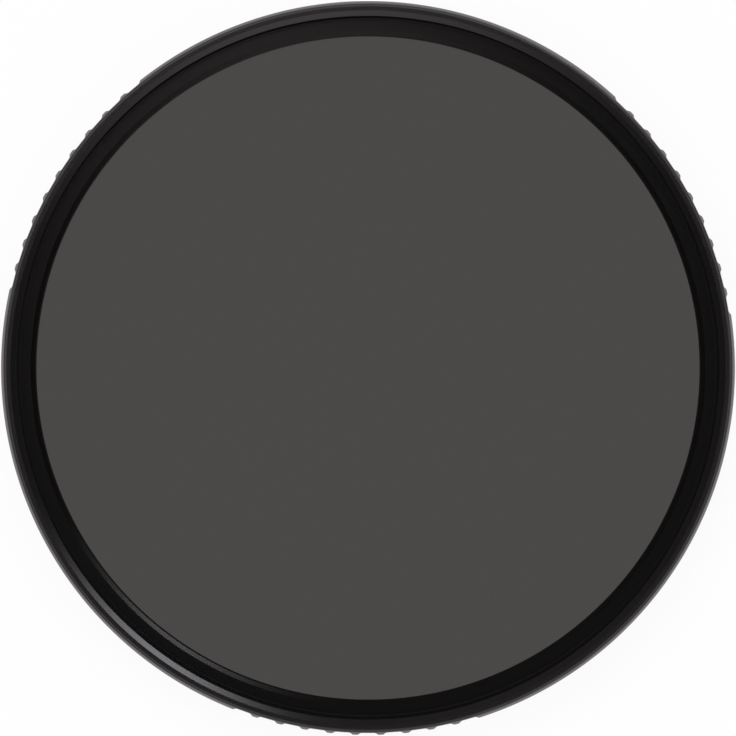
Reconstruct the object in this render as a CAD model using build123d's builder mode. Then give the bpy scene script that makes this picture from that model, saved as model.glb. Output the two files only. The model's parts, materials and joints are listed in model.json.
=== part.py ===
"""Screw-in lens filter: a turned frame ring with three grips, a grey glass disc and its retaining ring.

The filter lies on the end of its rear thread. +Z runs along the optical axis, out of the front, and the
origin is the centre of the rear end face. Lengths are in millimetres and angles in degrees.
"""

import os

from build123d import *

# Filter threads, both of the nominal size that is written on the lens
thread_diameter = 77.0
thread_pitch = 0.75
rear_thread_length = 2.2
front_thread_length = 1.5
thread_chamfer = 0.35
rear_relief_width = 0.45
front_relief_width = 0.35
relief_clearance = 0.05

# Rim of the frame. Its front edge tapers a little, where the notches run out, and is then rounded.
rim_wall = 1.2
rim_width = 1.06
front_taper = 0.38
front_taper_height = 0.8
front_edge_radius = 0.4
rear_edge_chamfer = 0.3

# Grips: groups of flat-floored notches that run along the whole rim
grip_count = 3
first_grip_angle = 30.0
notches_per_grip = 10
notch_pitch = 4.0
notch_depth = 0.25
notch_floor = 1.6
notch_mouth = 2.3
notch_overcut = 0.1

# Seat that carries the glass
seat_wall = 0.64
seat_height = 1.3
ledge_width = 1.15
rear_bevel = 0.85

# Glass disc
glass_thickness = 2.0
glass_clearance = 0.1
glass_bevel = 0.2

# Retaining ring, which goes in past the front thread and bears on the glass
retainer_height = 1.0
retainer_passage = 0.42
retainer_clearance = 0.03
retainer_headroom = 0.02
retainer_overhang = 0.27
retainer_bevel_width = 0.6
retainer_bevel_height = 0.73
seat_overlap = 0.2

# Depths of a metric thread, as shares of its pitch
INSIDE_THREAD_DEPTH = 0.5413
OUTSIDE_THREAD_DEPTH = 0.6134

# Radii, from the outside in. A plain wall at the crest stands for each thread.
thread_radius = thread_diameter / 2
frame_radius = thread_radius + rim_wall
front_crest_radius = thread_radius - INSIDE_THREAD_DEPTH * thread_pitch
rear_root_radius = thread_radius - OUTSIDE_THREAD_DEPTH * thread_pitch
front_relief_radius = thread_radius + relief_clearance
rear_relief_radius = rear_root_radius - relief_clearance
lead_in = frame_radius - rim_width - front_crest_radius
retainer_bore_radius = front_crest_radius - retainer_passage
retainer_radius = retainer_bore_radius - retainer_clearance
seat_radius = rear_root_radius - seat_wall
glass_radius = seat_radius - glass_clearance
aperture_radius = seat_radius - ledge_width
retainer_aperture_radius = aperture_radius - retainer_overhang

# Heights, stacked from the rear end face to the front
glass_top = seat_height + glass_thickness
retainer_top = glass_top + retainer_height
retainer_bore_top = retainer_top + retainer_headroom
front_thread_start = retainer_bore_top + front_relief_width
front_thread_end = front_thread_start + front_thread_length
frame_height = front_thread_end + lead_in
rear_relief_start = rear_thread_length - rear_relief_width


# Frame ring: one turned piece, with the rear thread outside, the front thread inside and the seat between
with BuildPart() as frame_ring:
    with BuildSketch(Plane.XZ) as frame_section:
        with BuildLine():
            Polyline(
                (aperture_radius + rear_bevel, 0),
                (thread_radius - thread_chamfer, 0),
                (thread_radius, thread_chamfer),
                (thread_radius, rear_relief_start),
                (rear_relief_radius, rear_relief_start),
                (rear_relief_radius, rear_thread_length),
                (frame_radius - rear_edge_chamfer, rear_thread_length),
                (frame_radius, rear_thread_length + rear_edge_chamfer),
                (frame_radius, frame_height - front_taper_height),
                (frame_radius - front_taper, frame_height),
                (frame_radius - rim_width, frame_height),
                (front_crest_radius, front_thread_end),
                (front_crest_radius, front_thread_start),
                (front_relief_radius, front_thread_start),
                (front_relief_radius, retainer_bore_top),
                (retainer_bore_radius, retainer_bore_top),
                (retainer_bore_radius, glass_top - seat_overlap),
                (seat_radius, glass_top - seat_overlap),
                (seat_radius, seat_height),
                (aperture_radius, seat_height),
                (aperture_radius, rear_bevel),
                close=True,
            )
        make_face()
        front_corners = frame_section.vertices().group_by(Axis.Y)[-1]
        fillet(front_corners.sort_by(Axis.X)[-1], radius=front_edge_radius)
    revolve(axis=Axis.Z)

    # Notches of the grips, cut along the axis through both edges of the rim
    with BuildSketch(Plane.XY.offset(rear_thread_length)):
        flare = (notch_mouth - notch_floor) / 2 * notch_overcut / notch_depth
        for grip in range(grip_count):
            middle = first_grip_angle + grip * 360 / grip_count
            with PolarLocations(
                frame_radius,
                notches_per_grip,
                start_angle=middle - notch_pitch * (notches_per_grip - 1) / 2,
                angular_range=notch_pitch * notches_per_grip,
            ):
                Polygon(
                    (-notch_depth, -notch_floor / 2),
                    (notch_overcut, -notch_mouth / 2 - flare),
                    (notch_overcut, notch_mouth / 2 + flare),
                    (-notch_depth, notch_floor / 2),
                    align=None,
                )
    extrude(amount=frame_height - rear_thread_length, mode=Mode.SUBTRACT)

# Filter glass: a plane disc with ground edges, on the ledge of the frame
with BuildPart(Plane.XY.offset(seat_height)) as filter_glass:
    Cylinder(
        glass_radius,
        glass_thickness,
        align=(Align.CENTER, Align.CENTER, Align.MIN),
    )
    chamfer(filter_glass.edges().filter_by(GeomType.CIRCLE), length=glass_bevel)

# Retaining ring: holds the glass down, with a bevel towards the light path
with BuildPart() as retaining_ring:
    with BuildSketch(Plane.XZ):
        with BuildLine():
            Polyline(
                (retainer_aperture_radius, glass_top),
                (retainer_radius, glass_top),
                (retainer_radius, retainer_top),
                (retainer_aperture_radius + retainer_bevel_width, retainer_top),
                (retainer_aperture_radius, retainer_top - retainer_bevel_height),
                close=True,
            )
        make_face()
    revolve(axis=Axis.Z)

os.makedirs("parts", exist_ok=True)
pieces = {
    "frame_ring": frame_ring,
    "filter_glass": filter_glass,
    "retaining_ring": retaining_ring,
}
for name, piece in pieces.items():
    piece.part.label = name
    export_step(piece.part, f"parts/{name}.step")
    print(f"{name}: {piece.part.volume:.0f} mm3")
print(f"filter: {2 * frame_radius:.1f} mm across, {frame_height:.2f} mm high, lead-in {lead_in:.2f} mm")
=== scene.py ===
# %% [markdown]
# # A screw-in lens filter
# The filter lies on a white table with its front up, and the camera looks straight down on it. It has
# three pieces: a frame ring turned from aluminium and anodised black, a disc of grey glass, and a plain
# ring that holds the glass in. This lesson turns each piece from a drawn section, as a lathe would,
# cuts the threads and the grip notches with Boolean tools, and then gives each piece its finish.

# %% Load the frame
import json
import math

import bmesh
import bpy
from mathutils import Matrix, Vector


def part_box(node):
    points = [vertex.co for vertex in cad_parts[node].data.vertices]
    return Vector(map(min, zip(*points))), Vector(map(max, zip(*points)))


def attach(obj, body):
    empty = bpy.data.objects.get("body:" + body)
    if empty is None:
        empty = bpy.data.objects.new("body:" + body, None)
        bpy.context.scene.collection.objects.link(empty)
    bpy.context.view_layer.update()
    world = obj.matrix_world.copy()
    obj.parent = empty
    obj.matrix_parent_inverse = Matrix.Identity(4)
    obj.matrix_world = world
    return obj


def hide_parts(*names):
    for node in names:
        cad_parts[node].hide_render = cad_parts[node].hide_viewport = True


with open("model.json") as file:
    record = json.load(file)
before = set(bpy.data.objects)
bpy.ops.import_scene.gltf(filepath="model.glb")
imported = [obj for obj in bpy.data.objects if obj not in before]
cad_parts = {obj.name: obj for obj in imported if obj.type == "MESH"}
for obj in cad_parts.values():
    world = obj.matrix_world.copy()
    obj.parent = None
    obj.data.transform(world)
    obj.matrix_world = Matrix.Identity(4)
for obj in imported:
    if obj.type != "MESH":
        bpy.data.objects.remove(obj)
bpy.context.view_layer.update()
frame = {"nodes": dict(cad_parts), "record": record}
mounts = {mount["name"]: mount for mount in frame["record"]["mounts"]}
print("nodes:", sorted(frame["nodes"]))

# %% [markdown]
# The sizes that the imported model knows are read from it, so that every mesh lies where its solid lies.
# The model holds metres and a turner thinks in millimetres, so small sizes are written in millimetres
# and multiplied by MM.

# %% Sizes from the frame
MM = 0.001
frame_low, frame_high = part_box("frame_ring")
glass_low, glass_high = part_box("filter_glass")
retainer_low, retainer_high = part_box("retaining_ring")
rim_radius = -frame_low.y
rim_top = frame_high.z
rear_thread_radius = mounts["rear_thread"]["dims"]["r_mm"] * MM
front_thread_radius = mounts["front_thread"]["dims"]["r_mm"] * MM
print(f"rim {rim_radius / MM:.2f} mm in radius, {rim_top / MM:.2f} mm high")

# %% [markdown]
# ## Turning a piece
# A turned piece is the same all the way round, so its section is all that has to be drawn. One vertex
# is extruded from corner to corner, as a modeller does with the E key, and filled to a face. On a face,
# a vertex bevel rounds a corner to a true arc. The face is then taken away, and its outline is spun
# about the Z axis. The Screw modifier could turn it as well, but Spin leaves plain quads at once.

# %% Helpers that select
SAME_POINT = 0.0005 * MM


def deselect():
    bpy.ops.object.select_all(action="DESELECT")


def make_active(piece):
    """Selects one piece alone, so that the next operator acts on nothing else."""
    deselect()
    piece.select_set(True)
    bpy.context.view_layer.objects.active = piece


def select_vertices(piece, wanted):
    """Selects, in edit mode, the vertices whose place passes the test."""
    mesh = bmesh.from_edit_mesh(piece.data)
    for vertex in mesh.verts:
        vertex.select = wanted(vertex.co)
    mesh.select_flush_mode()
    bmesh.update_edit_mesh(piece.data)


# %% Helpers that draw, round and spin a section
TURNS = 360


def draw_section(name, corners):
    """Draws a closed section in the XZ plane and leaves it in edit mode."""
    deselect()
    radius, height = corners[0]
    bpy.ops.mesh.primitive_plane_add(size=MM, location=(radius, 0, height))
    piece = bpy.context.object
    piece.name = name
    bpy.ops.object.transform_apply(location=True)
    bpy.ops.object.mode_set(mode="EDIT")
    bpy.ops.mesh.select_all(action="SELECT")
    bpy.ops.mesh.merge(type="CENTER")
    for (r0, z0), (r1, z1) in zip(corners, corners[1:]):
        bpy.ops.mesh.extrude_vertices_move(TRANSFORM_OT_translate={"value": (r1 - r0, 0, z1 - z0)})
    bpy.ops.mesh.select_all(action="SELECT")
    bpy.ops.mesh.edge_face_add()
    return piece


def round_corners(piece, corners, reach, segments):
    """Rounds the section at the given corners. The arc starts at the given reach from each corner."""
    select_vertices(
        piece, lambda co: any(math.hypot(co.x - r, co.z - z) < SAME_POINT for r, z in corners)
    )
    bpy.ops.mesh.bevel(
        offset=reach, offset_type="OFFSET", segments=segments, affect="VERTICES", profile=0.5
    )


def spin_section(piece):
    """Spins the section's outline about the Z axis into a closed ring."""
    bpy.ops.mesh.select_all(action="SELECT")
    bpy.ops.mesh.delete(type="ONLY_FACE")
    bpy.ops.mesh.select_all(action="SELECT")
    bpy.ops.mesh.spin(steps=TURNS, angle=2 * math.pi, center=(0, 0, 0), axis=(0, 0, 1))
    bpy.ops.mesh.select_all(action="SELECT")
    bpy.ops.mesh.remove_doubles(threshold=SAME_POINT)
    bpy.ops.mesh.normals_make_consistent(inside=False)
    bpy.ops.object.mode_set(mode="OBJECT")
    print(f"{piece.name}: {len(piece.data.polygons)} faces")


# %% [markdown]
# ## The frame ring
# The ring is one turned piece. From the rear it has an outside thread with a relief groove, a shoulder,
# the rim, a wide lead-in bevel, the inside thread with its own relief, the bore for the retaining ring,
# the seat for the glass, and a bevel that opens the aperture to the rear. The small sizes come first,
# in that order.

# %% Sizes of the frame's section
shoulder = 2.2 * MM
thread_chamfer = 0.35 * MM
rear_relief_width = 0.45 * MM
rear_relief_depth = 0.51 * MM
rear_edge_chamfer = 0.3 * MM
rim_width = 1.06 * MM
front_taper = 0.38 * MM
front_taper_height = 0.8 * MM
front_edge_radius = 0.4 * MM
front_relief_width = 0.35 * MM
front_relief_clearance = 0.05 * MM
retainer_clearance = 0.03 * MM
retainer_headroom = 0.02 * MM
seat_overlap = 0.2 * MM
seat_clearance = 0.1 * MM
ledge_width = 1.15 * MM
rear_bevel = 0.85 * MM

# %% Radii and heights that follow from them
rear_relief_radius = rear_thread_radius - rear_relief_depth
lead_in = rim_radius - rim_width - front_thread_radius
front_relief_radius = rear_thread_radius + front_relief_clearance
retainer_bore_radius = retainer_high.x + retainer_clearance
retainer_bore_top = retainer_high.z + retainer_headroom
front_thread_start = retainer_bore_top + front_relief_width
seat_radius = glass_high.x + seat_clearance
aperture_radius = seat_radius - ledge_width
print(f"lead-in bevel {lead_in / MM:.2f} mm, aperture {aperture_radius / MM:.2f} mm in radius")

# %% [markdown]
# The section goes once round that list. A machined edge is never perfectly sharp, and it is the thin
# bright line there that makes black metal readable, so most corners are broken a little. The two
# corners of the lead-in bevel stay crisp, as the photo shows them. The front edge of the rim tapers and
# then turns over in an arc, which starts where the arc's radius and the turn of the edge put it.

# %% Section of the frame ring
front_corner = (rim_radius - front_taper, rim_top)
lead_in_corners = [(rim_radius - rim_width, rim_top), (front_thread_radius, rim_top - lead_in)]
frame_corners = [
    (aperture_radius + rear_bevel, 0),
    (rear_thread_radius - thread_chamfer, 0),
    (rear_thread_radius, thread_chamfer),
    (rear_thread_radius, shoulder - rear_relief_width),
    (rear_relief_radius, shoulder - rear_relief_width),
    (rear_relief_radius, shoulder),
    (rim_radius - rear_edge_chamfer, shoulder),
    (rim_radius, shoulder + rear_edge_chamfer),
    (rim_radius, rim_top - front_taper_height),
    front_corner,
    *lead_in_corners,
    (front_thread_radius, front_thread_start),
    (front_relief_radius, front_thread_start),
    (front_relief_radius, retainer_bore_top),
    (retainer_bore_radius, retainer_bore_top),
    (retainer_bore_radius, glass_high.z - seat_overlap),
    (seat_radius, glass_high.z - seat_overlap),
    (seat_radius, glass_low.z),
    (aperture_radius, glass_low.z),
    (aperture_radius, rear_bevel),
]
frame_ring = draw_section("turned_frame_ring", frame_corners)

# %% Round its corners and turn it
edge_break = 0.04 * MM
front_turn = math.atan2(front_taper_height, front_taper)
own_corners = [front_corner, *lead_in_corners]
broken_corners = [corner for corner in frame_corners if corner not in own_corners]
round_corners(frame_ring, broken_corners, edge_break, segments=2)
round_corners(frame_ring, [front_corner], front_edge_radius * math.tan(front_turn / 2), segments=8)
spin_section(frame_ring)

# %% [markdown]
# ## The grip notches
# Three groups of ten shallow notches give the fingers a hold. A milling cutter runs along the rim for
# each one. Here that cutter is a cube, flared towards the outside and with its inner edges rounded, and
# thirty copies of it are joined into one tool. The Boolean modifier then takes the tool out of the
# ring.

# %% One notch cutter
notch_depth = 0.25 * MM
notch_floor = 1.6 * MM
notch_mouth = 2.3 * MM
notch_corner = 0.12 * MM
overcut = 0.1 * MM
cutter_width = notch_depth + overcut
deselect()
bpy.ops.mesh.primitive_cube_add(
    size=1,
    location=(rim_radius - notch_depth + cutter_width / 2, 0, (shoulder + rim_top) / 2),
    scale=(cutter_width, notch_floor, rim_top - shoulder + 2 * overcut),
)
notch = bpy.context.object
bpy.ops.object.transform_apply(location=True, scale=True)
bpy.ops.object.mode_set(mode="EDIT")
select_vertices(notch, lambda co: co.x > rim_radius)
flare = 1 + (notch_mouth / notch_floor - 1) * cutter_width / notch_depth
bpy.ops.transform.resize(value=(1, flare, 1), center_override=(rim_radius, 0, 0))
select_vertices(notch, lambda co: co.x < rim_radius)
bpy.ops.mesh.bevel(offset=notch_corner, segments=3, affect="EDGES")
bpy.ops.object.mode_set(mode="OBJECT")
print(f"notch cutter: {len(notch.data.polygons)} faces")

# %% Its copies, joined into one tool
grip_angles = (30, 150, 270)
notch_angles = (-18, -14, -10, -6, -2, 2, 6, 10, 14, 18)
notches = []
for grip in grip_angles:
    for step in notch_angles:
        copy = notch.copy()
        copy.data = notch.data.copy()
        copy.rotation_euler.z = math.radians(grip + step)
        bpy.context.collection.objects.link(copy)
        notches.append(copy)
bpy.data.objects.remove(notch)
make_active(notches[0])
for copy in notches:
    copy.select_set(True)
bpy.ops.object.transform_apply(rotation=True)
bpy.ops.object.join()
notch_tool = bpy.context.object
print(f"notch tool: {len(notches)} cutters")


# %% Cut the notches
def cut_out(piece, tool):
    """Takes the tool out of the piece and removes the tool."""
    make_active(piece)
    cut = piece.modifiers.new("Cut", "BOOLEAN")
    cut.operation = "DIFFERENCE"
    cut.solver = "EXACT"
    cut.object = tool
    bpy.ops.object.modifier_apply(modifier=cut.name)
    bpy.data.objects.remove(tool)
    print(f"{piece.name}: {len(piece.data.polygons)} faces after the cut")


cut_out(frame_ring, notch_tool)

# %% [markdown]
# ## The threads
# Both threads are the fine 0.75 mm pitch that filters use. A thread is a V groove wound along a helix,
# so its cutter is a flat trapezium, wound by the Screw modifier. The trapezium reaches a little past
# the crest, and not as far as the next turn. Both helices are right-hand. The bottom of an outside
# thread is a quarter of the pitch wide and 0.6134 of it deep, and that of an inside thread an eighth of
# the pitch wide.

# %% A thread cutter
PITCH = 0.75 * MM
OUTSIDE_THREAD_DEPTH = 0.6134
WINDING_STEPS = 200
past_crest = 0.05 * MM
flank = math.tan(math.radians(30))


def thread_cutter(name, root, root_flat, crest, start, turns):
    """Winds a V section, narrow at the root radius and wide just past the crest."""
    mouth = crest + math.copysign(past_crest, crest - root)
    half_root = root_flat / 2
    half_mouth = half_root + abs(mouth - root) * flank
    deselect()
    bpy.ops.mesh.primitive_plane_add(size=2, location=(0, 0, start), rotation=(math.pi / 2, 0, 0))
    tool = bpy.context.object
    tool.name = name
    bpy.ops.object.transform_apply(location=True, rotation=True)
    bpy.ops.object.mode_set(mode="EDIT")
    select_vertices(tool, lambda co: co.x > 0)
    bpy.ops.transform.resize(value=(0, 0, half_root), center_override=(0, 0, start))
    bpy.ops.transform.translate(value=(root, 0, 0))
    select_vertices(tool, lambda co: co.x < 0)
    bpy.ops.transform.resize(value=(0, 0, half_mouth), center_override=(0, 0, start))
    bpy.ops.transform.translate(value=(mouth, 0, 0))
    bpy.ops.mesh.select_all(action="SELECT")
    bpy.ops.mesh.delete(type="ONLY_FACE")
    bpy.ops.object.mode_set(mode="OBJECT")
    wind = tool.modifiers.new("Wind", "SCREW")
    wind.axis = "Z"
    wind.angle = 2 * math.pi
    wind.screw_offset = PITCH
    wind.iterations = turns
    wind.steps = wind.render_steps = WINDING_STEPS
    bpy.ops.object.modifier_apply(modifier=wind.name)
    bpy.ops.object.mode_set(mode="EDIT")
    bpy.ops.mesh.select_all(action="SELECT")
    bpy.ops.mesh.fill_holes(sides=4)
    bpy.ops.mesh.normals_make_consistent(inside=False)
    bpy.ops.object.mode_set(mode="OBJECT")
    return tool


# %% [markdown]
# A wound cutter is then cut to length by an intersection with a plain cylinder, wider than the filter,
# so that it runs out into the relief groove and leaves the shoulder and the lead-in bevel whole.


# %% Cut a tool to length
def trim(tool, low, high):
    """Keeps what lies between two heights."""
    deselect()
    bpy.ops.mesh.primitive_cylinder_add(
        vertices=64, radius=1.2 * rim_radius, depth=high - low, location=(0, 0, (low + high) / 2)
    )
    keep = bpy.context.object
    bpy.ops.object.transform_apply(location=True)
    make_active(tool)
    limit = tool.modifiers.new("Limit", "BOOLEAN")
    limit.operation = "INTERSECT"
    limit.solver = "EXACT"
    limit.object = keep
    bpy.ops.object.modifier_apply(modifier=limit.name)
    bpy.data.objects.remove(keep)
    print(f"{tool.name}: from {low / MM:.2f} to {high / MM:.2f} mm")


# %% Cut the rear thread and the front thread
run_out = 0.02 * MM
rear_cutter = thread_cutter(
    "rear_thread_cutter",
    root=rear_thread_radius - OUTSIDE_THREAD_DEPTH * PITCH,
    root_flat=PITCH / 4,
    crest=rear_thread_radius,
    start=-PITCH,
    turns=5,
)
trim(rear_cutter, -PITCH, shoulder - run_out)
cut_out(frame_ring, rear_cutter)

front_cutter = thread_cutter(
    "front_thread_cutter",
    root=rear_thread_radius,
    root_flat=PITCH / 8,
    crest=front_thread_radius,
    start=front_thread_start - PITCH,
    turns=4,
)
trim(front_cutter, retainer_bore_top + run_out, rim_top - lead_in - 1.5 * edge_break)
cut_out(frame_ring, front_cutter)

# %% [markdown]
# Where two cuts meet, the Boolean modifier can leave edges far shorter than any that a tool could make.
# Points that lie in one place are merged, and what is then left without width or area is dissolved.

# %% Clean up after the cuts
make_active(frame_ring)
bpy.ops.object.mode_set(mode="EDIT")
bpy.ops.mesh.select_all(action="SELECT")
bpy.ops.mesh.remove_doubles(threshold=SAME_POINT)
bpy.ops.mesh.dissolve_degenerate(threshold=SAME_POINT)
bpy.ops.mesh.delete_loose()
bpy.ops.mesh.select_all(action="DESELECT")
bpy.ops.mesh.select_non_manifold()
bpy.ops.object.mode_set(mode="OBJECT")
open_edges = sum(edge.select for edge in frame_ring.data.edges)
print(f"{frame_ring.name}: {len(frame_ring.data.polygons)} faces, {open_edges} open edges")

# %% [markdown]
# ## The retaining ring
# This ring holds the glass on its seat. It is a plain turned ring with a bevel towards the glass, so it
# is drawn and spun in the same way. In the photo that bevel is the thin inner highlight, and the dark
# line beside the glass is a narrow lip at its foot.

# %% Turn the retaining ring
retainer_overhang = 0.27 * MM
retainer_bevel_width = 0.6 * MM
retainer_bevel_height = 0.73 * MM
retainer_lip = 0.16 * MM
lip_drop = retainer_bevel_height * (1 - retainer_lip / retainer_bevel_width)
retainer_aperture = aperture_radius - retainer_overhang
retainer_corners = [
    (retainer_aperture, retainer_low.z),
    (retainer_high.x, retainer_low.z),
    (retainer_high.x, retainer_high.z),
    (retainer_aperture + retainer_bevel_width, retainer_high.z),
    (retainer_aperture + retainer_lip, retainer_high.z - lip_drop),
    (retainer_aperture, retainer_high.z - lip_drop),
]
retaining_ring = draw_section("turned_retaining_ring", retainer_corners)
spin_section(retaining_ring)

# %% [markdown]
# ## The glass
# The disc is a cylinder with its two edges ground to a bevel. It is made a hair thinner than its seat,
# so that its faces never coincide with the metal they rest on: two faces in one place flicker.

# %% Grind the glass disc
LEVEL = 0.9
face_gap = 0.004 * MM
glass_bevel = 0.2 * MM
glass_thickness = glass_high.z - glass_low.z - 2 * face_gap
deselect()
bpy.ops.mesh.primitive_cylinder_add(
    vertices=TURNS,
    radius=glass_high.x,
    depth=glass_thickness,
    location=(0, 0, (glass_low.z + glass_high.z) / 2),
)
glass_disc = bpy.context.object
glass_disc.name = "ground_glass_disc"
bpy.ops.object.transform_apply(location=True)
bpy.ops.object.mode_set(mode="EDIT")
bpy.ops.mesh.select_mode(type="FACE")
mesh = bmesh.from_edit_mesh(glass_disc.data)
for face in mesh.faces:
    face.select = abs(face.normal.z) > LEVEL
bmesh.update_edit_mesh(glass_disc.data)
bpy.ops.mesh.region_to_loop()
bpy.ops.mesh.bevel(offset=glass_bevel, segments=1, affect="EDGES")
bpy.ops.mesh.select_mode(type="VERT")
bpy.ops.object.mode_set(mode="OBJECT")
print(f"{glass_disc.name}: {len(glass_disc.data.polygons)} faces")

# %% [markdown]
# ## Smooth shading
# Turned faces are smooth round the axis and meet at real edges, so shading is smoothed only where two
# faces meet at a small angle. Next to a rounding, plain smoothing would also tilt the shading of the
# flat face. The Weighted Normal modifier lets the larger face decide, which keeps flats flat.

# %% Shade by angle
smooth_up_to = 30
for piece in (frame_ring, retaining_ring, glass_disc):
    make_active(piece)
    bpy.ops.object.shade_smooth_by_angle(angle=math.radians(smooth_up_to))
    even = piece.modifiers.new("Even", "WEIGHTED_NORMAL")
    even.keep_sharp = True
    bpy.ops.object.modifier_apply(modifier=even.name)
    print(f"{piece.name}: smooth up to {smooth_up_to} degrees")

# %% [markdown]
# ## Finishes
# Colours are written as sRGB hex values, as a colour picker shows them, and turned to linear by one
# function. One small function adds a node, sets it and links it.


# %% Helpers for materials
def linear(hex_colour):
    """An sRGB hex value as linear RGBA."""
    channels = [int(hex_colour[i:i + 2], 16) / 255 for i in (1, 3, 5)]
    return [c / 12.92 if c <= 0.04045 else ((c + 0.055) / 1.055) ** 2.4 for c in channels] + [1.0]


def add_node(tree, kind, inputs=(), **settings):
    """Adds a node, sets its properties, and sets or links its inputs."""
    node = tree.nodes.new(kind)
    for key, value in settings.items():
        setattr(node, key, value)
    for key, value in dict(inputs).items():
        if isinstance(value, bpy.types.NodeSocket):
            tree.links.new(value, node.inputs[key])
        else:
            node.inputs[key].default_value = value
    return node


def new_material(name):
    """An empty node material with its output."""
    material = bpy.data.materials.new(name)
    material.use_nodes = True
    material.node_tree.nodes.clear()
    return material, material.node_tree, add_node(material.node_tree, "ShaderNodeOutputMaterial")


# %% [markdown]
# ### Black anodised aluminium, turned
# The dye sits in a clear film of aluminium oxide, so the surface looks like satin black plastic more
# than like bare metal: a very dark colour with a soft reflection on top, which the black dye tints a
# little violet. The lathe leaves fine rings, which follow the distance from the axis and the height,
# and never the angle. Real feed marks are about 0.05 mm apart, and are drawn three times as coarse, so
# that they show at all. The film's grain is finer noise, which also makes the gloss a little uneven.

# %% Black anodised aluminium
FEED = 0.15 * MM
GRAIN = 0.2 * MM
GRAIN_SHARE = 0.15
GLOSS_SPREAD = 0.012
VIOLET_SHEEN = "#fff5fa"


def black_anodised(name, dark, pale, roughness, ior, groove):
    """A turned and anodised finish, with feed marks of the given depth."""
    material, tree, output = new_material(name)
    place = add_node(tree, "ShaderNodeTexCoord").outputs["Object"]
    flat = add_node(
        tree, "ShaderNodeVectorMath", {0: place, 1: (1, 1, 0)}, operation="MULTIPLY"
    ).outputs["Vector"]
    radius = add_node(tree, "ShaderNodeVectorMath", {0: flat}, operation="LENGTH").outputs["Value"]
    height = add_node(tree, "ShaderNodeSeparateXYZ", {"Vector": place}).outputs["Z"]
    lathe = add_node(tree, "ShaderNodeCombineXYZ", {"X": radius, "Z": height}).outputs["Vector"]
    rings = add_node(
        tree, "ShaderNodeTexNoise", {"Vector": lathe, "Scale": 1 / FEED, "Detail": 2.0}
    ).outputs["Fac"]
    speckle = add_node(
        tree, "ShaderNodeTexNoise", {"Vector": place, "Scale": 1 / GRAIN, "Detail": 3.0}
    ).outputs["Fac"]
    colour = add_node(
        tree, "ShaderNodeMix",
        {"Factor": speckle, "A": linear(dark), "B": linear(pale)},
        data_type="RGBA",
    ).outputs["Result"]
    gloss = add_node(
        tree, "ShaderNodeMapRange",
        {"Value": speckle, "From Min": 0.3, "From Max": 0.7,
         "To Min": roughness - GLOSS_SPREAD, "To Max": roughness + GLOSS_SPREAD},
    ).outputs["Result"]
    turned = add_node(
        tree, "ShaderNodeBump", {"Height": rings, "Strength": 1.0, "Distance": groove}
    ).outputs["Normal"]
    grained = add_node(
        tree, "ShaderNodeBump",
        {"Height": speckle, "Strength": 1.0, "Distance": GRAIN_SHARE * groove, "Normal": turned},
    ).outputs["Normal"]
    shader = add_node(
        tree, "ShaderNodeBsdfPrincipled",
        {"Base Color": colour, "Roughness": gloss, "Normal": grained, "IOR": ior,
         "Specular Tint": linear(VIOLET_SHEEN)},
    )
    tree.links.new(shader.outputs["BSDF"], output.inputs["Surface"])
    return material


# %% [markdown]
# The outside of the frame has the index of the oxide, about 1.75. Inside, where stray light would harm
# the picture, filters are blackened once more: the retaining ring and the bore mirror less, and the
# thread, which is cut and not turned smooth, is matt. Their colours are also a little darker than the
# outside's. That extra darkness is painted shade, standing in for the shade that the rim's walls cast
# into the recess.

# %% The three black finishes
frame_finish = black_anodised(
    "black_anodised_aluminium", "#090808", "#0c0b0b", roughness=0.25, ior=1.75, groove=0.0006 * MM
)
# These two finishes are blackened and also darker in colour, which paints the shade of the recess.
retainer_finish_and_shade = black_anodised(
    "blackened_aluminium_and_painted_shade", "#070606", "#090808", roughness=0.2, ior=1.55, groove=0.0004 * MM
)
thread_finish_and_shade = black_anodised(
    "blackened_thread_and_painted_shade", "#080707", "#0b0a0a", roughness=0.45, ior=1.35, groove=0.0006 * MM
)
print("finishes:", frame_finish.name, retainer_finish_and_shade.name, thread_finish_and_shade.name)

# %% [markdown]
# ### Neutral grey glass
# A neutral density glass is dyed all the way through. Volume absorption does the same: light that
# crosses the thickness t is left with exp(-density (1 - colour) t). The density is worked out so that a
# white table seen through the disc has the grey of the photo, after the small losses at the two
# polished faces. The faces carry an anti-reflection film, a quarter of a wave thick, which keeps
# reflections faint. The ground edge is the same glass with a rough surface.

# %% Grey glass
seen_through = linear("#4b4947")
face_loss = 0.985
depth_needed = [-math.log(c / face_loss**2) for c in seen_through[:3]]
density = max(depth_needed) / glass_thickness
tint = [1 - d / max(depth_needed) for d in depth_needed] + [1.0]


def grey_glass(name, roughness, film):
    """Clear glass at the surface, grey inside. The film is a thickness in nanometres."""
    material, tree, output = new_material(name)
    shader = add_node(
        tree, "ShaderNodeBsdfPrincipled",
        {"Base Color": (1, 1, 1, 1), "Roughness": roughness, "IOR": 1.52, "Transmission Weight": 1.0,
         "Thin Film Thickness": film, "Thin Film IOR": 1.38},
    )
    volume = add_node(tree, "ShaderNodeVolumeAbsorption", {"Color": tint, "Density": density})
    tree.links.new(shader.outputs["BSDF"], output.inputs["Surface"])
    tree.links.new(volume.outputs["Volume"], output.inputs["Volume"])
    return material


polished_glass = grey_glass("neutral_grey_glass_polished", roughness=0.0, film=100.0)
ground_glass = grey_glass("neutral_grey_glass_ground", roughness=0.5, film=0.0)
print(f"glass density {density:.0f} per metre")
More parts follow.
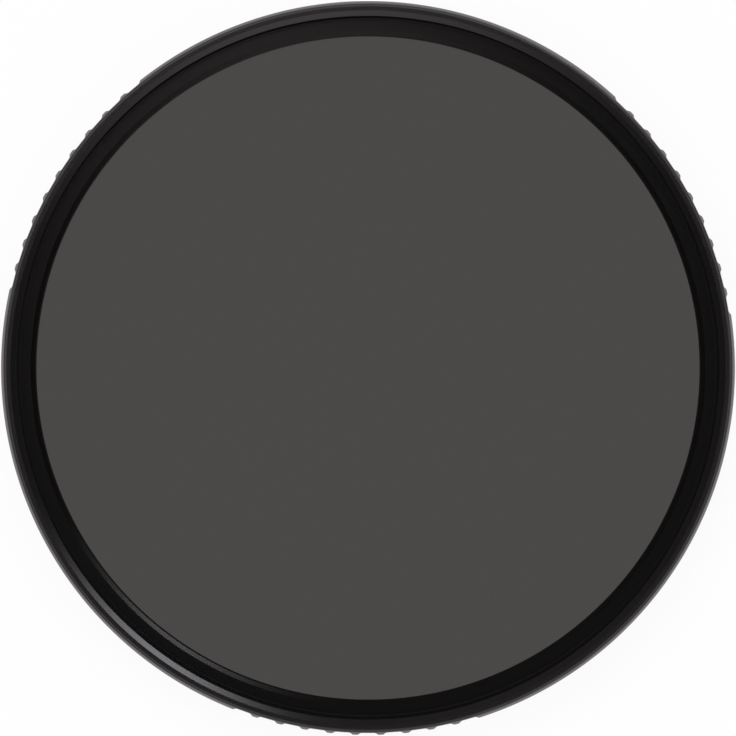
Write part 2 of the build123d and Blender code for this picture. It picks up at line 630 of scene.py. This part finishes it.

# %% [markdown]
# ### Which face gets which finish
# A face of the frame lies inside if it is nearer to the axis than the relief of the front thread, above
# the ledge of the glass and below the lead-in bevel. There the thread begins above the bore of the
# retaining ring. Inside faces take the darker finishes, whose colour is painted shade of the recess.

# %% Give each piece its finish
OUTER, INNER, THREAD = range(3)
for finish in (frame_finish, retainer_finish_and_shade, thread_finish_and_shade):
    frame_ring.data.materials.append(finish)
lead_in_foot = rim_top - lead_in - edge_break / 2
inside_faces = 0
for face in frame_ring.data.polygons:
    radius = math.hypot(face.center.x, face.center.y)
    height = face.center.z
    face.material_index = OUTER
    # Inside faces take the darker finishes, whose colour is painted shade of the recess.
    if radius < front_relief_radius + edge_break and glass_low.z < height < lead_in_foot:
        face.material_index = THREAD if height > retainer_bore_top + edge_break else INNER
        inside_faces += 1
# The retaining ring lies in the recess: its darker colour is partly painted shade.
retaining_ring.data.materials.append(retainer_finish_and_shade)
glass_disc.data.materials.append(polished_glass)
glass_disc.data.materials.append(ground_glass)
for face in glass_disc.data.polygons:
    face.material_index = 0 if abs(face.normal.z) > LEVEL else 1
print(f"{frame_ring.name}: {inside_faces} faces inside")

# %% [markdown]
# ## Tying the meshes to the model
# Nothing on this filter moves, so all three pieces ride on its one body. Each stands for the solid of
# the same piece.

# %% Ride and replace
for piece, node, slot in (
    (frame_ring, "frame_ring", "anodised_frame"),
    (retaining_ring, "retaining_ring", "anodised_retainer"),
    (glass_disc, "filter_glass", "grey_glass"),
):
    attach(piece, "root")
    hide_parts(node)
    print(f"{piece.name} stands for {node}")

# %% [markdown]
# ## The table
# The photo is a product shot on pure white. The table is white to the camera, to reflections and to
# what is seen through glass, with a small share of real diffuse light, so that the filter still throws
# a soft shadow on it. It lies a hair below the filter.

# %% Table
table_size = 8
table_drop = 0.002 * MM
camera_share = 0.93
deselect()
bpy.ops.mesh.primitive_plane_add(size=table_size, location=(0, 0, -table_drop))
table = bpy.context.object
table.name = "table"
material, tree, output = new_material("white_table")
ray = add_node(tree, "ShaderNodeLightPath").outputs
seen = add_node(
    tree, "ShaderNodeMath", {0: ray["Is Camera Ray"], 1: camera_share}, operation="MULTIPLY"
).outputs["Value"]
for kind in ("Is Glossy Ray", "Is Transmission Ray"):
    seen = add_node(
        tree, "ShaderNodeMath", {0: seen, 1: ray[kind]}, operation="MAXIMUM"
    ).outputs["Value"]
lit = add_node(tree, "ShaderNodeBsdfDiffuse", {"Color": linear("#f4f4f4")}).outputs["BSDF"]
white = add_node(
    tree, "ShaderNodeEmission", {"Color": (1, 1, 1, 1), "Strength": 1.0}
).outputs["Emission"]
mixed = add_node(tree, "ShaderNodeMixShader", {"Fac": seen, 1: lit, 2: white}).outputs["Shader"]
tree.links.new(mixed, output.inputs["Surface"])
table.data.materials.append(material)
print(f"table {table_size} m wide, white to the camera by {camera_share:.0%}")

# %% [markdown]
# ## The light
# Black metal shows little but what it mirrors, so the light is drawn as that. A white tent stands all
# round, with an opening at the top where the lens looks in. Flat faces mirror the dark opening and stay
# black, and the rounded edges mirror the cloth. Low over the table, soft lights shine through the
# cloth: a broad one at the foot of the picture, a faint one at its head and a small cool one at the
# upper right, whose image is the streak on the bevel at the lower left.

# %% [markdown]
# ### Directions in the sky
# The Generated coordinate of a world is the direction, so its Z is the sine of the elevation. Its level
# part, brought to length 1, is a compass needle, and the dot product with an azimuth says how nearly it
# faces there.

# %% Directions in the sky
world = bpy.data.worlds.new("studio_tent")
bpy.context.scene.world = world
world.use_nodes = True
tree = world.node_tree
tree.nodes.clear()
direction = add_node(tree, "ShaderNodeTexCoord").outputs["Generated"]
rise = add_node(tree, "ShaderNodeSeparateXYZ", {"Vector": direction}).outputs["Z"]
level_part = add_node(
    tree, "ShaderNodeVectorMath", {0: direction, 1: (1, 1, 0)}, operation="MULTIPLY"
).outputs["Vector"]
compass = add_node(
    tree, "ShaderNodeVectorMath", {0: level_part}, operation="NORMALIZE"
).outputs["Vector"]


def glow(azimuth, narrowness, strength, base=0.0):
    """A light over a base level, brightest towards the azimuth in degrees and gone on the far side."""
    turn = math.radians(azimuth)
    facing = add_node(
        tree, "ShaderNodeVectorMath", {0: compass, 1: (math.cos(turn), math.sin(turn), 0)},
        operation="DOT_PRODUCT",
    ).outputs["Value"]
    near_side = add_node(
        tree, "ShaderNodeMath", {0: facing, 1: 0.0}, operation="MAXIMUM"
    ).outputs["Value"]
    lobe = add_node(
        tree, "ShaderNodeMath", {0: near_side, 1: narrowness}, operation="POWER"
    ).outputs["Value"]
    return add_node(
        tree, "ShaderNodeMath", {0: lobe, 1: strength, 2: base}, operation="MULTIPLY_ADD"
    ).outputs["Value"]


# %% The cloth of the tent and its opening
HEAD, FOOT, UPPER_RIGHT = 110, -79, 56
cloth_foot, lights_top, cloth_full, opening_edge, opening_clear = (
    math.sin(math.radians(elevation)) for elevation in (7, 12, 30, 72.4, 76)
)
darkness = 0.03
cloth = glow(HEAD, narrowness=1, strength=0.2, base=0.66)
tent = add_node(
    tree, "ShaderNodeMapRange",
    {"Value": rise, "From Min": cloth_foot, "From Max": cloth_full,
     "To Min": darkness, "To Max": cloth},
    interpolation_type="SMOOTHSTEP",
).outputs["Result"]
open_tent = add_node(
    tree, "ShaderNodeMapRange",
    {"Value": rise, "From Min": opening_edge, "From Max": opening_clear,
     "To Min": tent, "To Max": darkness},
    interpolation_type="SMOOTHSTEP",
).outputs["Result"]
print(f"opening {2 * math.degrees(math.acos(opening_edge)):.0f} degrees wide")

# %% The lights low behind the cloth
head_glow = glow(HEAD, narrowness=5, strength=0.1)
white_glow = glow(FOOT, narrowness=4.2, strength=0.87, base=head_glow)
cool_glow = glow(UPPER_RIGHT, narrowness=35, strength=4.4)
white_light, cool_light = [
    add_node(
        tree, "ShaderNodeMapRange",
        {"Value": rise, "From Min": cloth_foot, "From Max": lights_top,
         "To Min": light, "To Max": 0.0},
        interpolation_type="SMOOTHSTEP",
    ).outputs["Result"]
    for light in (white_glow, cool_glow)
]
print(f"lights below {math.degrees(math.asin(lights_top)):.0f} degrees")

# %% [markdown]
# ### The sky as a whole
# To the camera itself, and through glass, the world is white, like the table. Reflections show the
# tent.

# %% Put the sky together
strength = add_node(
    tree, "ShaderNodeMath", {0: open_tent, 1: white_light}, operation="ADD"
).outputs["Value"]
ray = add_node(tree, "ShaderNodeLightPath").outputs
for kind in ("Is Camera Ray", "Is Transmission Ray"):
    strength = add_node(
        tree, "ShaderNodeMath", {0: strength, 1: ray[kind]}, operation="MAXIMUM"
    ).outputs["Value"]
white = add_node(
    tree, "ShaderNodeBackground", {"Color": linear("#ffffff"), "Strength": strength}
).outputs["Background"]
cool = add_node(
    tree, "ShaderNodeBackground", {"Color": linear("#f4fbff"), "Strength": cool_light}
).outputs["Background"]
sky = add_node(tree, "ShaderNodeAddShader", {0: white, 1: cool}).outputs["Shader"]
add_node(tree, "ShaderNodeOutputWorld", {"Surface": sky})
print(f"{world.name}: {len(tree.nodes)} nodes")

# %% [markdown]
# ### The lamps
# Two lamps stand inside the tent. A small box right beside the lens puts a sheen on the flat faces at
# the head of the picture, and is just too far out for the glass to mirror it. A large, dim one overhead
# only lights what is dull, and is left out of reflections.

# %% Lamps
LAMP_DISTANCE = 1.2


def soft_box(name, azimuth, elevation, width, power, mirrored=True):
    """A square lamp that looks at the filter from a direction in degrees. Metres and watts."""
    lamp = bpy.data.lights.new(name, "AREA")
    lamp.shape = "SQUARE"
    lamp.size = width
    lamp.energy = power
    holder = bpy.data.objects.new(name, lamp)
    turn, tilt = math.radians(azimuth), math.radians(elevation)
    holder.location = (
        LAMP_DISTANCE * math.cos(tilt) * math.cos(turn),
        LAMP_DISTANCE * math.cos(tilt) * math.sin(turn),
        LAMP_DISTANCE * math.sin(tilt),
    )
    holder.rotation_euler = (math.pi / 2 - tilt, 0, turn + math.pi / 2)
    holder.visible_camera = False
    holder.visible_glossy = mirrored
    bpy.context.collection.objects.link(holder)
    print(f"{name}: {power} W")


soft_box("overhead_fill", azimuth=120, elevation=75, width=1.0, power=7, mirrored=False)
soft_box("lens_box", azimuth=111, elevation=83.8, width=0.06, power=0.03)

# %% [markdown]
# ## The camera
# The photo looks straight along the axis through a long lens, with the rim just inside the frame. The
# camera is turned two degrees about the axis, which puts the three grips where the photo shows them.

# %% Camera
frame_width = 79.51 * MM
viewing_distance = 0.7
camera_turn = 2
eye = bpy.data.cameras.new("copy_stand")
eye.sensor_width = 36.0
eye.lens = eye.sensor_width * viewing_distance / frame_width
camera = bpy.data.objects.new("copy_stand", eye)
camera.location = (0, 0, rim_top + viewing_distance)
camera.rotation_euler = (0, 0, math.radians(camera_turn))
bpy.context.collection.objects.link(camera)
bpy.context.scene.camera = camera
bpy.context.scene.view_settings.view_transform = "Standard"
print(f"lens {eye.lens:.0f} mm, {viewing_distance} m above the rim")
